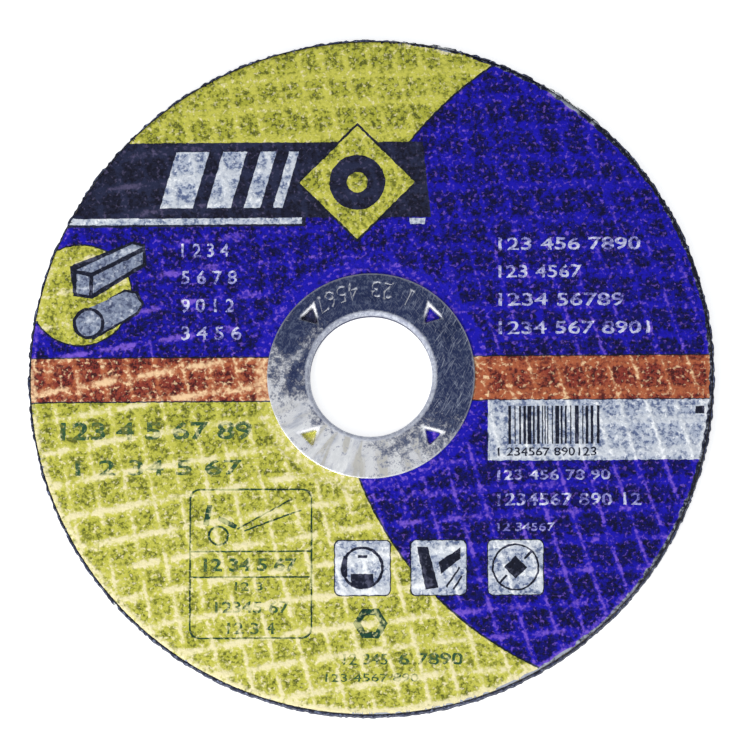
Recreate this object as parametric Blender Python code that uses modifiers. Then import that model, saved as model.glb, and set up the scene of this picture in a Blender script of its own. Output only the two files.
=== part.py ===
"""Cut-off wheel for an angle grinder, 125 x 2.5 x 22.23 mm, lying flat with its label up.

Two woven glass nets hold the abrasive layer between them. A printed label is pressed over
the upper net, and a pressed steel ring lines the bore, held by four pierced triangular prongs.
The origin is on the wheel's axis, in the plane of its rear face. +Y is the top of the label.
"""

import math

import bmesh
import bpy
from mathutils.geometry import delaunay_2d_cdt

# Wheel, in metres: the three sizes that such a wheel is sold by
WHEEL_DIAMETER = 0.125
WHEEL_THICKNESS = 0.0025
BORE_DIAMETER = 0.02223

# Layers between the rear face and the label's crests, with the glue line between two of them
REAR_NET_THICKNESS = 0.0005
FRONT_NET_THICKNESS = 0.00035
LABEL_THICKNESS = 0.00036
LABEL_LAND_THICKNESS = 0.0001
BOND_LINE = 0.00002

# Margins from the wheel's rim to the edge of each sheet, the gap round the nets' edges, and the
# rim's own chamfer
RIM_CHAMFER = 0.0001
NET_MARGIN = 0.0005
LABEL_MARGIN = 0.0006
EDGE_CLEARANCE = 0.00003

# Woven net: strand pitch and lean of both strand directions
WARP_PITCH = 0.0047
WEFT_PITCH = 0.0056
WARP_LEAN = math.radians(14)
WEFT_LEAN = math.radians(6)
LABEL_RELIEF = 0.00015
NET_RELIEF = 0.0003
FRONT_NET_RELIEF = 0.00015
LABEL_SLOPE_SHARE = 0.15
PIT_SLOPE_SHARE = 0.5
EDGE_FADE = 0.0009
LAND_STEP = 0.0003

# Steel ring: flange, bend into the bore and collar
RING_DIAMETER = 0.0378
RING_SHEET = 0.00035
RING_BEND_RADIUS = 0.0008
RING_EDGE_ROUND = 0.00012
COLLAR_RECESS = 0.0004
COLLAR_CLEARANCE = 0.00012
LAND_MARGIN = 0.0023

# Prongs: triangular holes with their edges turned down through the label
PRONG_COUNT = 4
PRONG_CIRCLE_RADIUS = 0.0156
PRONG_FIRST_ANGLE = math.radians(45)
PRONG_CORNER_RADIUS = 0.002
PRONG_FOOT_RADIUS = 0.0015
PRONG_DEPTH = 0.0009
PRONG_WALL = 0.00018
PRONG_CLEARANCE = 0.00003

# Small chip that is broken out of the rim
CHIP_ANGLE = math.radians(222.3)
CHIP_RADIUS = 0.0009
CHIP_BITE = 0.0003

# Smoothness of the round shapes
RIM_SEGMENTS = 72
RING_SEGMENTS = 48
BEND_STEPS = 3
BORDER_SEGMENTS = 96
SPOT_SEGMENTS = 24
DISC_SEGMENTS = 12
WELD = 0.00002
SHORTEST_LINE = 0.0001

# Heights of the layers above the rear face
RADIUS = WHEEL_DIAMETER / 2
LABEL_TOP = WHEEL_THICKNESS
LABEL_BOTTOM = LABEL_TOP - LABEL_THICKNESS
LAND_TOP = LABEL_BOTTOM + LABEL_LAND_THICKNESS
FRONT_NET_TOP = LABEL_BOTTOM - BOND_LINE
FRONT_NET_BOTTOM = FRONT_NET_TOP - FRONT_NET_THICKNESS
BODY_TOP = FRONT_NET_BOTTOM - BOND_LINE
BODY_BOTTOM = REAR_NET_THICKNESS + BOND_LINE
LIP_TOP = LABEL_TOP - LABEL_RELIEF
FLANGE_BOTTOM = LAND_TOP + BOND_LINE
FLANGE_TOP = FLANGE_BOTTOM + RING_SHEET
PRONG_FOOT = FLANGE_TOP - PRONG_DEPTH

# Radii round the bore
BORE_RADIUS = BORE_DIAMETER / 2
COLLAR_RADIUS = BORE_RADIUS + RING_SHEET
BODY_HOLE_RADIUS = COLLAR_RADIUS + COLLAR_CLEARANCE
SHEET_HOLE_RADIUS = BORE_RADIUS + RING_BEND_RADIUS + COLLAR_CLEARANCE
LAND_RADIUS = RING_DIAMETER / 2 + LAND_MARGIN

# Print on the label, places from the axis: the round border of the blue field and the bands
BLUE_CENTRE = (0.0573, 0.0041)
BLUE_RADIUS = 0.0635
STRIPE_TOP = 0.0035
STRIPE_BOTTOM = -0.0045
BAND_TOP = 0.0433
BAND_BOTTOM = 0.0295
BAND_RIGHT = 0.0105
UNDERLINE_BOTTOM = 0.028
UNDERLINE_RIGHT = -0.0126
PAST_RIM = RADIUS + 0.002

# Print on the label: the spot at the left with a bar and a tube on it, the pale panel, and the
# shapes on the black band
SPOT_CENTRE = (-0.0529, 0.0152)
SPOT_RADIUS = 0.0092
SPOT_BAR = [(-0.0546, 0.0198), (-0.0508, 0.015), (-0.0411, 0.0212), (-0.0434, 0.0249)]
SPOT_TUBE = [(-0.0541, 0.0112), (-0.0506, 0.0071), (-0.0416, 0.0124), (-0.0441, 0.0162)]
PANEL_LEFT = 0.0212
PANEL_RIGHT = 0.0596
PANEL_BOTTOM = -0.0157
BAR_LEFTS = (-0.0385, -0.0300, -0.0232, -0.0179)
BAR_WIDTHS = (0.006, 0.0044, 0.003, 0.0018)
BAR_BOTTOM = 0.0312
BAR_TOP = 0.0416
BAR_SLANT = 0.003
DIAMOND_CENTRE = (-0.0025, 0.0358)
DIAMOND_HALF = 0.0105
DIAMOND_CORNERS = 4
DISC_RADIUS = 0.0051

# Print on the label: dark bars on the pale panel
PANEL_BAR_LEFTS = (0.0249, 0.0281, 0.0316, 0.0347, 0.0392)
PANEL_BAR_WIDTHS = (0.0012, 0.002, 0.001, 0.0026, 0.0016)
PANEL_BAR_BOTTOM = -0.0127
PANEL_BAR_TOP = -0.0057

# Print on the label: three pale squares in a row with dark marks, and a small six-sided ring
SQUARE_LEFTS = (-0.0065, 0.0073, 0.0212)
SQUARE_SIDE = 0.0099
SQUARE_BOTTOM = -0.0402
FIRST_MARK = [(-0.0036, -0.0386), (0.0005, -0.0386), (0.0005, -0.0363), (-0.0036, -0.0363)]
SECOND_MARK = [(0.0083, -0.0314), (0.0103, -0.0314), (0.0122, -0.0389), (0.0099, -0.0393)]
THIRD_MARK = [(0.0282, -0.0352), (0.0261, -0.0331), (0.024, -0.0352), (0.0261, -0.0373)]
HEX_CENTRE = (-0.0001, -0.0454)
HEX_CORNERS = 6
HEX_OUTSIDE = 0.0031
HEX_INSIDE = 0.0017


def clear_scene():
    """Remove what the scene holds."""
    for item in list(bpy.data.objects):
        bpy.data.objects.remove(item)


def make_material(name, colour, roughness, metallic=0.0):
    """A Principled material from a linear colour."""
    material = bpy.data.materials.new(name)
    material.use_nodes = True
    shader = material.node_tree.nodes["Principled BSDF"]
    shader.inputs["Base Color"].default_value = (*colour, 1.0)
    shader.inputs["Roughness"].default_value = roughness
    shader.inputs["Metallic"].default_value = metallic
    material.diffuse_color = (*colour, 1.0)
    return material


def make_collection(name):
    """A collection under the scene's own."""
    collection = bpy.data.collections.new(name)
    bpy.context.scene.collection.children.link(collection)
    return collection


def add_object(name, mesh, collection, materials=()):
    """An object for a mesh, with its materials."""
    item = bpy.data.objects.new(name, mesh)
    collection.objects.link(item)
    for material in materials:
        mesh.materials.append(material)
    return item


def turned(name, profile, segments, collection, materials):
    """A ring turned about Z from a closed profile of (radius, height), outer side first, downward."""
    mesh = bpy.data.meshes.new(name)
    points = [(radius, 0.0, height) for radius, height in profile]
    edges = [(index, (index + 1) % len(points)) for index in range(len(points))]
    mesh.from_pydata(points, edges, [])
    item = add_object(name, mesh, collection, materials)
    screw = item.modifiers.new("turn", "SCREW")
    screw.angle = math.tau
    screw.steps = segments
    screw.render_steps = segments
    screw.use_merge_vertices = True
    screw.merge_threshold = 0.00001
    screw.use_smooth_shade = False
    return item


def combine(target, tool, operation):
    """Join or cut an object with another through an exact Boolean."""
    boolean = target.modifiers.new(tool.name, "BOOLEAN")
    boolean.operation = operation
    boolean.solver = "EXACT"
    boolean.material_mode = "TRANSFER"
    boolean.object = tool
    tool.hide_render = True
    tool.display_type = "WIRE"


def arc(centre, radius, start, end, steps):
    """Points along an arc, both ends included."""
    points = []
    for step in range(steps + 1):
        angle = start + (end - start) * step / steps
        points.append((centre[0] + radius * math.cos(angle), centre[1] + radius * math.sin(angle)))
    return points


def circle(radius, segments, centre=(0.0, 0.0)):
    """Corners of a regular polygon, the first one at +X."""
    return arc(centre, radius, 0.0, math.tau * (segments - 1) / segments, segments - 1)


def rectangle(left, right, bottom, top):
    """Corners of an upright rectangle."""
    return [(left, bottom), (right, bottom), (right, top), (left, top)]


def slanted_bar(left, width, bottom, top, slant):
    """Corners of a bar whose top is moved to the right."""
    return [(left, bottom), (left + width, bottom), (left + width + slant, top), (left + slant, top)]


def inside(point, outline):
    """True where a point lies within a closed outline."""
    x, y = point
    found = False
    for (x0, y0), (x1, y1) in zip(outline, outline[1:] + outline[:1]):
        if (y0 > y) != (y1 > y) and x < x0 + (y - y0) * (x1 - x0) / (y1 - y0):
            found = not found
    return found


def net_point(warp, weft):
    """Place in the plan of a point given in strand pitches across both directions."""
    across_warp = warp * WARP_PITCH
    across_weft = weft * WEFT_PITCH
    scale = math.cos(WARP_LEAN - WEFT_LEAN)
    x = (across_warp * math.cos(WEFT_LEAN) - across_weft * math.sin(WARP_LEAN)) / scale
    y = (across_warp * math.sin(WEFT_LEAN) + across_weft * math.cos(WARP_LEAN)) / scale
    return x, y


def net_place(x, y):
    """Strand pitches across both directions of a point in the plan."""
    warp = (x * math.cos(WARP_LEAN) + y * math.sin(WARP_LEAN)) / WARP_PITCH
    weft = (y * math.cos(WEFT_LEAN) - x * math.sin(WEFT_LEAN)) / WEFT_PITCH
    return warp, weft


def cell_drop(x, y, slope_share):
    """Share of the relief that a point lies below the strands: 0 on a strand, 1 on a cell's floor."""
    warp, weft = net_place(x, y)
    nearest = min(abs(warp - round(warp)), abs(weft - round(weft)))
    return min(1.0, nearest / slope_share)


def ridge_drop(x, y, slope_share):
    """The same for a side where only the warp strands stand up."""
    warp = net_place(x, y)[0]
    return min(1.0, abs(warp - round(warp)) / slope_share)


def between(start, end, inner, outer):
    """The stretches of a line that lie between two radii."""
    run = (end[0] - start[0], end[1] - start[1])
    square = run[0] ** 2 + run[1] ** 2
    middle = -(start[0] * run[0] + start[1] * run[1]) / square
    nearest = math.hypot(start[0] + run[0] * middle, start[1] + run[1] * middle)
    if nearest >= outer:
        return []
    reach = math.sqrt((outer ** 2 - nearest ** 2) / square)
    spans = [(max(0.0, middle - reach), min(1.0, middle + reach))]
    if nearest < inner:
        gap = math.sqrt((inner ** 2 - nearest ** 2) / square)
        low, high = spans[0]
        spans = [(low, min(high, middle - gap)), (max(low, middle + gap), high)]
    stretches = []
    for low, high in spans:
        if (high - low) * math.sqrt(square) > SHORTEST_LINE:
            ends = [(start[0] + run[0] * share, start[1] + run[1] * share) for share in (low, high)]
            stretches.append(tuple(ends))
    return stretches


def cell_lines(slope_share, outer):
    """Crest and crease lines of the net's cells that come within a radius, as pairs of points."""
    lines = []
    reach = math.ceil(outer / min(WARP_PITCH, WEFT_PITCH)) + 2
    low = slope_share
    high = 1.0 - slope_share
    for i in range(-reach, reach):
        for j in range(-reach, reach):
            crossings = [net_point(i + a, j + b) for a, b in ((0, 0), (1, 0), (1, 1), (0, 1))]
            if min(math.hypot(*crossing) for crossing in crossings) > outer:
                continue
            floor = [net_point(i + a, j + b) for a, b in ((low, low), (high, low), (high, high), (low, high))]
            lines.append((crossings[0], crossings[1]))
            lines.append((crossings[0], crossings[3]))
            lines.extend(zip(crossings, floor))
            if high > low:
                lines.extend(zip(floor, floor[1:] + floor[:1]))
    return lines


def ridge_lines(slope_share, outer):
    """Crest and valley lines of the warp strands alone, from rim to rim."""
    reach = math.ceil(outer / WARP_PITCH) + 1
    span = math.ceil(outer / WEFT_PITCH) + reach
    lines = []
    for i in range(-reach, reach):
        lines.append((net_point(i, -span), net_point(i, span)))
        lines.append((net_point(i + slope_share, -span), net_point(i + slope_share, span)))
    return lines


def plan_surface(lines, outlines):
    """Divide the plan along lines and closed outlines. Gives the corners and the triangles."""
    points = []
    edges = []
    for start, end in lines:
        edges.append((len(points), len(points) + 1))
        points.extend((start, end))
    for outline in outlines:
        first = len(points)
        count = len(outline)
        edges.extend((first + index, first + (index + 1) % count) for index in range(count))
        points.extend(outline)
    corners, _, triangles, *_ = delaunay_2d_cdt(points, edges, [], 0, WELD)
    return [tuple(corner) for corner in corners], triangles


def pressed_sheet(
        name, flat, crest, relief, hole, land, land_height, edge, drop, slope_share, prints, collection):
    """A round sheet, flat on one side and pressed into the net's relief on the other.

    Between hole and land it is smooth at land_height, and at its edge the relief has faded out.
    prints is a list of (material, outline), painted in turn over the first one, which has none.
    """
    down = -1.0 if crest > flat else 1.0
    make_lines = ridge_lines if drop is ridge_drop else cell_lines
    lines = []
    for start, end in make_lines(slope_share, edge):
        lines.extend(between(start, end, land + LAND_STEP, edge - EDGE_FADE))
    edge_outline = circle(edge, RIM_SEGMENTS)
    land_outline = circle(land, RING_SEGMENTS)
    hole_outline = circle(hole, RING_SEGMENTS)
    outlines = [edge_outline, land_outline, hole_outline]
    outlines.extend(outline for _, outline in prints if outline)
    corners, triangles = plan_surface(lines, outlines)

    def height(x, y):
        radius = math.hypot(x, y)
        share = drop(x, y, slope_share)
        fade = (radius - edge + EDGE_FADE) / EDGE_FADE
        level = crest + down * relief * min(1.0, max(share, fade))
        rise = min(1.0, max(0.0, (radius - land) / LAND_STEP))
        return land_height + (level - land_height) * rise

    mesh = bpy.data.meshes.new(name)
    slots = list(dict.fromkeys(material for material, _ in prints))
    build = bmesh.new()
    made = {}
    for triangle in triangles:
        centre = tuple(sum(corners[index][axis] for index in triangle) / 3 for axis in (0, 1))
        if not inside(centre, edge_outline) or inside(centre, hole_outline):
            continue
        for index in triangle:
            if index not in made:
                x, y = corners[index]
                made[index] = build.verts.new((x, y, height(x, y)))
        face = build.faces.new([made[index] for index in triangle])
        for material, outline in prints:
            if outline and inside(centre, outline):
                face.material_index = slots.index(material)
    border = [line for line in build.edges if line.is_boundary]
    wall = bmesh.ops.extrude_edge_only(build, edges=border)["geom"]
    for item in wall:
        if isinstance(item, bmesh.types.BMVert):
            item.co.z = flat
    rim = [item for item in wall if isinstance(item, bmesh.types.BMEdge) and item.is_boundary]
    bmesh.ops.triangle_fill(build, use_beauty=True, edges=rim)
    bmesh.ops.recalc_face_normals(build, faces=build.faces)
    build.to_mesh(mesh)
    build.free()
    return add_object(name, mesh, collection, slots)


def prong_places():
    """Centre and heading of each prong's triangle, whose corner points at the bore."""
    for index in range(PRONG_COUNT):
        angle = PRONG_FIRST_ANGLE + math.tau * index / PRONG_COUNT
        centre = (PRONG_CIRCLE_RADIUS * math.cos(angle), PRONG_CIRCLE_RADIUS * math.sin(angle))
        yield centre, angle + math.pi


def prong_radius(height):
    """Corner radius of the tapered prong hole at a height."""
    share = (FLANGE_TOP - height) / PRONG_DEPTH
    return PRONG_CORNER_RADIUS + (PRONG_FOOT_RADIUS - PRONG_CORNER_RADIUS) * share


def prong_solids(name, top, bottom, wall, collection, materials):
    """Four tapered triangular plugs that follow the prong holes, wall outside their sides."""
    mesh = bpy.data.meshes.new(name)
    build = bmesh.new()
    for number, (centre, heading) in enumerate(prong_places()):
        known = set(build.faces)
        plug = bmesh.ops.create_cone(
            build, cap_ends=True, segments=3, depth=top - bottom,
            radius1=prong_radius(bottom) + 2 * wall, radius2=prong_radius(top) + 2 * wall)
        first_corner = max(plug["verts"], key=lambda vert: vert.co.x + vert.co.y / 100).co
        turn = heading - math.atan2(first_corner.y, first_corner.x)
        for vert in plug["verts"]:
            x, y, z = vert.co
            vert.co.x = centre[0] + x * math.cos(turn) - y * math.sin(turn)
            vert.co.y = centre[1] + x * math.sin(turn) + y * math.cos(turn)
            vert.co.z = z + (top + bottom) / 2
        for face in set(build.faces) - known:
            face.material_index = number % len(materials)
    build.to_mesh(mesh)
    build.free()
    return add_object(name, mesh, collection, materials)


def label_prints(paints):
    """The label's fields of colour and simple shapes, from the ground colour up."""
    prints = [(paints["yellow"], None)]
    prints.append((paints["blue"], circle(BLUE_RADIUS, BORDER_SEGMENTS, BLUE_CENTRE)))
    prints.append((paints["blue"], rectangle(-PAST_RIM, 0.0, STRIPE_TOP, BAND_BOTTOM)))
    prints.append((paints["black"], rectangle(-PAST_RIM, BAND_RIGHT, BAND_BOTTOM, BAND_TOP)))
    prints.append((paints["white"], rectangle(-PAST_RIM, UNDERLINE_RIGHT, UNDERLINE_BOTTOM, BAND_BOTTOM)))
    prints.append((paints["yellow"], circle(SPOT_RADIUS, SPOT_SEGMENTS, SPOT_CENTRE)))
    prints.append((paints["white"], SPOT_BAR))
    prints.append((paints["white"], SPOT_TUBE))
    prints.append((paints["orange"], rectangle(-PAST_RIM, PAST_RIM, STRIPE_BOTTOM, STRIPE_TOP)))
    prints.append((paints["white"], rectangle(PANEL_LEFT, PANEL_RIGHT, PANEL_BOTTOM, STRIPE_BOTTOM)))
    for bar_left, bar_width in zip(BAR_LEFTS, BAR_WIDTHS):
        prints.append((paints["white"], slanted_bar(bar_left, bar_width, BAR_BOTTOM, BAR_TOP, BAR_SLANT)))
    prints.append((paints["yellow"], circle(DIAMOND_HALF, DIAMOND_CORNERS, DIAMOND_CENTRE)))
    prints.append((paints["black"], circle(DISC_RADIUS, DISC_SEGMENTS, DIAMOND_CENTRE)))
    for left in SQUARE_LEFTS:
        square = rectangle(left, left + SQUARE_SIDE, SQUARE_BOTTOM, SQUARE_BOTTOM + SQUARE_SIDE)
        prints.append((paints["white"], square))
    for mark in (FIRST_MARK, SECOND_MARK, THIRD_MARK):
        prints.append((paints["black"], mark))
    for left, width in zip(PANEL_BAR_LEFTS, PANEL_BAR_WIDTHS):
        prints.append((paints["black"], rectangle(left, left + width, PANEL_BAR_BOTTOM, PANEL_BAR_TOP)))
    prints.append((paints["black"], circle(HEX_OUTSIDE, HEX_CORNERS, HEX_CENTRE)))
    prints.append((paints["yellow"], circle(HEX_INSIDE, HEX_CORNERS, HEX_CENTRE)))
    return prints


def make_rear_net(collection, glass):
    """The net at the rear face: crests and a smooth seat round the bore lie in the face's plane."""
    return pressed_sheet(
        "rear_glass_net", flat=REAR_NET_THICKNESS, crest=0.0, relief=NET_RELIEF,
        hole=BODY_HOLE_RADIUS, land=LAND_RADIUS, land_height=0.0, edge=RADIUS - NET_MARGIN,
        drop=cell_drop, slope_share=PIT_SLOPE_SHARE, prints=[(glass, None)], collection=collection)


def make_front_net(collection, cutters, glass):
    """The net under the label, with its warp strands standing up and openings for the prongs."""
    net = pressed_sheet(
        "front_glass_net", flat=FRONT_NET_BOTTOM, crest=FRONT_NET_TOP, relief=FRONT_NET_RELIEF,
        hole=SHEET_HOLE_RADIUS, land=LAND_RADIUS, land_height=FRONT_NET_TOP, edge=RADIUS - NET_MARGIN,
        drop=ridge_drop, slope_share=PIT_SLOPE_SHARE, prints=[(glass, None)], collection=collection)
    combine(net, cutters, "DIFFERENCE")
    return net


def make_body(collection, pockets, chip, grit):
    """The abrasive layer. Its rim reaches round the edges of the nets, up to the label and down
    to the rear face, and it is chamfered where the ring bends into the bore."""
    bend = RING_BEND_RADIUS - RING_SHEET
    lip = RADIUS - NET_MARGIN + EDGE_CLEARANCE
    profile = [
        (RADIUS - RIM_CHAMFER, LIP_TOP),
        (RADIUS, LIP_TOP - RIM_CHAMFER),
        (RADIUS, RIM_CHAMFER),
        (RADIUS - RIM_CHAMFER, 0.0),
        (lip, 0.0),
        (lip, BODY_BOTTOM),
        (BODY_HOLE_RADIUS, BODY_BOTTOM),
        (BODY_HOLE_RADIUS, BODY_TOP - bend),
        (BODY_HOLE_RADIUS + bend, BODY_TOP),
        (lip, BODY_TOP),
        (lip, LIP_TOP),
    ]
    body = turned("abrasive_body", profile, RIM_SEGMENTS, collection, [grit])
    combine(body, pockets, "DIFFERENCE")
    combine(body, chip, "DIFFERENCE")
    return body


def make_chip(collection, grit):
    """Cutter for the chip in the rim."""
    build = bmesh.new()
    bmesh.ops.create_cone(
        build, cap_ends=True, segments=7, depth=3 * WHEEL_THICKNESS, radius1=CHIP_RADIUS, radius2=CHIP_RADIUS)
    mesh = bpy.data.meshes.new("rim_chip_cutter")
    build.to_mesh(mesh)
    build.free()
    chip = add_object("rim_chip_cutter", mesh, collection, [grit])
    reach = RADIUS + CHIP_RADIUS - CHIP_BITE
    chip.location = (reach * math.cos(CHIP_ANGLE), reach * math.sin(CHIP_ANGLE), 0.0)
    return chip


def make_label(collection, cutters, paints):
    """The printed label, embossed by the net, smooth under the ring and dished under the prongs."""
    label = pressed_sheet(
        "front_label", flat=LABEL_BOTTOM, crest=LABEL_TOP, relief=LABEL_RELIEF,
        hole=SHEET_HOLE_RADIUS, land=LAND_RADIUS, land_height=LAND_TOP, edge=RADIUS - LABEL_MARGIN,
        drop=cell_drop, slope_share=LABEL_SLOPE_SHARE, prints=label_prints(paints), collection=collection)
    seen_in_holes = [paints["blue"], paints["blue"], paints["yellow"], paints["blue"]]
    foot = PRONG_FOOT - PRONG_CLEARANCE
    dishes = prong_solids(
        "label_dish_shape", LAND_TOP - LABEL_LAND_THICKNESS / 2, foot - LABEL_LAND_THICKNESS,
        PRONG_WALL + PRONG_CLEARANCE + LABEL_LAND_THICKNESS, cutters, seen_in_holes)
    hollows = prong_solids(
        "label_dish_cutter", LAND_TOP + LABEL_LAND_THICKNESS, foot,
        PRONG_WALL + PRONG_CLEARANCE, cutters, seen_in_holes)
    combine(label, dishes, "UNION")
    combine(label, hollows, "DIFFERENCE")
    return label


def make_ring(collection, cutters, steel):
    """The steel ring: a flange, a round bend and a collar in the bore, with four pierced prongs."""
    half = math.pi / 2
    bend_centre = (BORE_RADIUS + RING_BEND_RADIUS, FLANGE_TOP - RING_BEND_RADIUS)
    edge_centre = (RING_DIAMETER / 2 - RING_EDGE_ROUND, FLANGE_TOP - RING_EDGE_ROUND)
    profile = arc(edge_centre, RING_EDGE_ROUND, half, 0.0, 1)
    profile.append((RING_DIAMETER / 2, FLANGE_BOTTOM))
    profile.extend(arc(bend_centre, RING_BEND_RADIUS - RING_SHEET, half, math.pi, BEND_STEPS))
    profile.append((COLLAR_RADIUS, COLLAR_RECESS))
    profile.append((BORE_RADIUS, COLLAR_RECESS))
    profile.extend(arc(bend_centre, RING_BEND_RADIUS, math.pi, half, BEND_STEPS))
    ring = turned("arbor_ring", profile, RING_SEGMENTS, collection, [steel])
    past = RING_SHEET / 2
    prongs = prong_solids("prong_shape", FLANGE_TOP - past, PRONG_FOOT, PRONG_WALL, cutters, [steel])
    holes = prong_solids("prong_hole_cutter", FLANGE_TOP + past, PRONG_FOOT - past, 0.0, cutters, [steel])
    combine(ring, prongs, "UNION")
    combine(ring, holes, "DIFFERENCE")
    return ring


def main():
    """Build the wheel."""
    clear_scene()
    wheel = make_collection("cut_off_wheel")
    cutters = make_collection("cutters")
    grit = make_material("abrasive_grit", (0.045, 0.05, 0.075), 0.9)
    glass = make_material("resin_glass_net", (0.09, 0.08, 0.07), 0.8)
    steel = make_material("pressed_steel", (0.42, 0.44, 0.5), 0.25, 1.0)
    paints = {
        "yellow": make_material("print_yellow_green", (0.46, 0.45, 0.09), 0.5),
        "blue": make_material("print_blue", (0.02, 0.016, 0.25), 0.5),
        "orange": make_material("print_orange", (0.45, 0.13, 0.06), 0.5),
        "black": make_material("print_black", (0.017, 0.022, 0.045), 0.5),
        "white": make_material("print_white", (0.55, 0.58, 0.68), 0.45),
    }
    pocket_wall = PRONG_WALL + 2 * PRONG_CLEARANCE + LABEL_LAND_THICKNESS
    pocket_foot = PRONG_FOOT - 2 * PRONG_CLEARANCE - LABEL_LAND_THICKNESS
    pockets = prong_solids("prong_pocket_cutter", FLANGE_TOP, pocket_foot, pocket_wall, cutters, [grit])
    make_rear_net(wheel, glass)
    make_body(wheel, pockets, make_chip(cutters, grit), grit)
    make_front_net(wheel, pockets, glass)
    make_label(wheel, cutters, paints)
    make_ring(wheel, cutters, steel)


main()
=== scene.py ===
"""Looks of the cut-off wheel: printed label over a woven net, rough grit rim and pressed steel ring.

Plan shapes are worked out in millimetres in the CAD's own frame and scaled when a mesh is made.
"""

import math

import bmesh
import bpy
import numpy as np
from mathutils import Matrix, Vector
from mathutils.geometry import delaunay_2d_cdt


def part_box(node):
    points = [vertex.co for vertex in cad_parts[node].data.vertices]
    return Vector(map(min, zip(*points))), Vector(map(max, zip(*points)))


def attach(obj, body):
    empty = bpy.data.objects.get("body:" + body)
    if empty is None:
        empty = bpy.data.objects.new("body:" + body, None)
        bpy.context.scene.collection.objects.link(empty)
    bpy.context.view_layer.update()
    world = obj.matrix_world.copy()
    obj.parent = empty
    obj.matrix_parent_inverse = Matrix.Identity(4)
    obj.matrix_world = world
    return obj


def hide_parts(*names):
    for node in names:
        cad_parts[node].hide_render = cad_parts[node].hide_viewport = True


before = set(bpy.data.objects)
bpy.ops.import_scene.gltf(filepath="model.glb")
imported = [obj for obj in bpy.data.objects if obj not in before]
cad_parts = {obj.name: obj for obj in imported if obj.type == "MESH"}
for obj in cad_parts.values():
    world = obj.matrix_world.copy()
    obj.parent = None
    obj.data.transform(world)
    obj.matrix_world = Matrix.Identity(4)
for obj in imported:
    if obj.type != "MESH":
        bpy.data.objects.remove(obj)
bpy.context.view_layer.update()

MM = 0.001

# Heights above the rear face and radii, in millimetres, as the CAD has them
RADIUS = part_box("abrasive_body")[1].x / MM
LABEL_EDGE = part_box("front_label")[1].x / MM
NET_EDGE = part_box("rear_glass_net")[1].x / MM
RING_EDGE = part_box("arbor_ring")[1].x / MM
FLANGE_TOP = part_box("arbor_ring")[1].z / MM
COLLAR_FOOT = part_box("arbor_ring")[0].z / MM
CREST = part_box("front_label")[1].z / MM
EMBOSS = 0.15
LABEL_FLOOR = CREST - EMBOSS
LABEL_BOTTOM = 2.14
LABEL_LAND = 2.24
BODY_TOP = 1.75
BODY_BOTTOM = 0.52
REAR_TOP = 0.5
STEEL = 0.35
FLANGE_BOTTOM = FLANGE_TOP - STEEL
BORE = 11.115
COLLAR = BORE + STEEL
BEND = 0.8
INNER_BEND = 0.45
BODY_HOLE = 11.585
SHEET_HOLE = BODY_HOLE + INNER_BEND
LAND_RADIUS = 21.2
LIP_INSIDE = NET_EDGE + 0.03

# Points round each hole of the sheets and the body
HOLE_POINTS = 96

# Prongs: circle of their centres, and the triangle's centre to its side at the foot and, with the
# radius of its corners, on both faces of the flange. Dishes under them: those distances at the floor
# and the rim of a dish, and the heights there, all nearer the middle than the dishes' reach
PRONG_CIRCLE = 15.6
PRONG_TOP = (1.22, 0.34)
PRONG_ROOT = (1.083, 0.3)
PRONG_FOOT_SIDE = 0.75
PRONG_FOOT = FLANGE_TOP - 0.9
LABEL_DISH = ((0.952, 1.107), (1.68, LABEL_LAND))
LABEL_UNDERDISH = ((1.052, 1.207), (1.58, LABEL_BOTTOM))
BODY_DISH = ((1.046, 1.101), (1.55, BODY_TOP))
DISH_REACH = 19

# Woven net: pitch of both strand directions, and how each leans, turns and bows over the wheel
WARP_PITCH = 4.7
WARP_LEAN = 0.249
WARP_TURN = 0.00144
WARP_SPACING = 0.9703
WEFT_PITCH = 5.6
WEFT_LEAN = -0.0895
WEFT_BOW = 0.0008
WEFT_TURN = 0.00083
WEFT_SPACING = 0.9945

# Blue field of the label: a disc with a border line, and the bottom and top of a strip left of it
BLUE_CENTRE = (57.3, 4.1)
BLUE_RADIUS = 63.5
BLUE_LINE = 0.35
BLUE_STRIP = (3.6, 29.4)

# Chip in the rim: half round, and as deep as the edges of the sheets leave room for
CHIP_ANGLE = math.radians(222.1)
CHIP_RADIUS = 0.45
CHIP_BITE = 0.42
CHIP_REACH = RADIUS + CHIP_RADIUS - CHIP_BITE

LATTICE = np.random.default_rng(11).uniform(-1.0, 1.0, (256, 256))


def noise(x, y, size, layer=0, around=None):
    """Smooth noise from -1 to 1 with cells of a size; around closes it after so many cells along x."""
    x = np.asarray(x) / size
    y = np.asarray(y) / size + 17.31 * layer
    i = np.floor(x).astype(int)
    j = np.floor(y).astype(int)
    s = x - i
    t = y - j
    s = s * s * (3 - 2 * s)
    t = t * t * (3 - 2 * t)
    k = i + 1
    if around:
        i = i % around
        k = k % around
    i = (i + 31 * layer) % 256
    k = (k + 31 * layer) % 256
    low = LATTICE[i, j % 256] * (1 - s) + LATTICE[k, j % 256] * s
    high = LATTICE[i, (j + 1) % 256] * (1 - s) + LATTICE[k, (j + 1) % 256] * s
    return low * (1 - t) + high * t


def step(value, low, high):
    """Smooth step from 0 at low to 1 at high."""
    share = np.clip((value - low) / (high - low), 0.0, 1.0)
    return share * share * (3 - 2 * share)


def circle(radius, count, centre=(0.0, 0.0)):
    """Points of a round outline; the radius is one number or one for each point."""
    turn = np.arange(count) * math.tau / count
    return np.column_stack([centre[0] + radius * np.cos(turn), centre[1] + radius * np.sin(turn)])


def box(left, right, bottom, top):
    """Points of an upright rectangle."""
    return np.array([(left, bottom), (right, bottom), (right, top), (left, top)], float)


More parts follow.
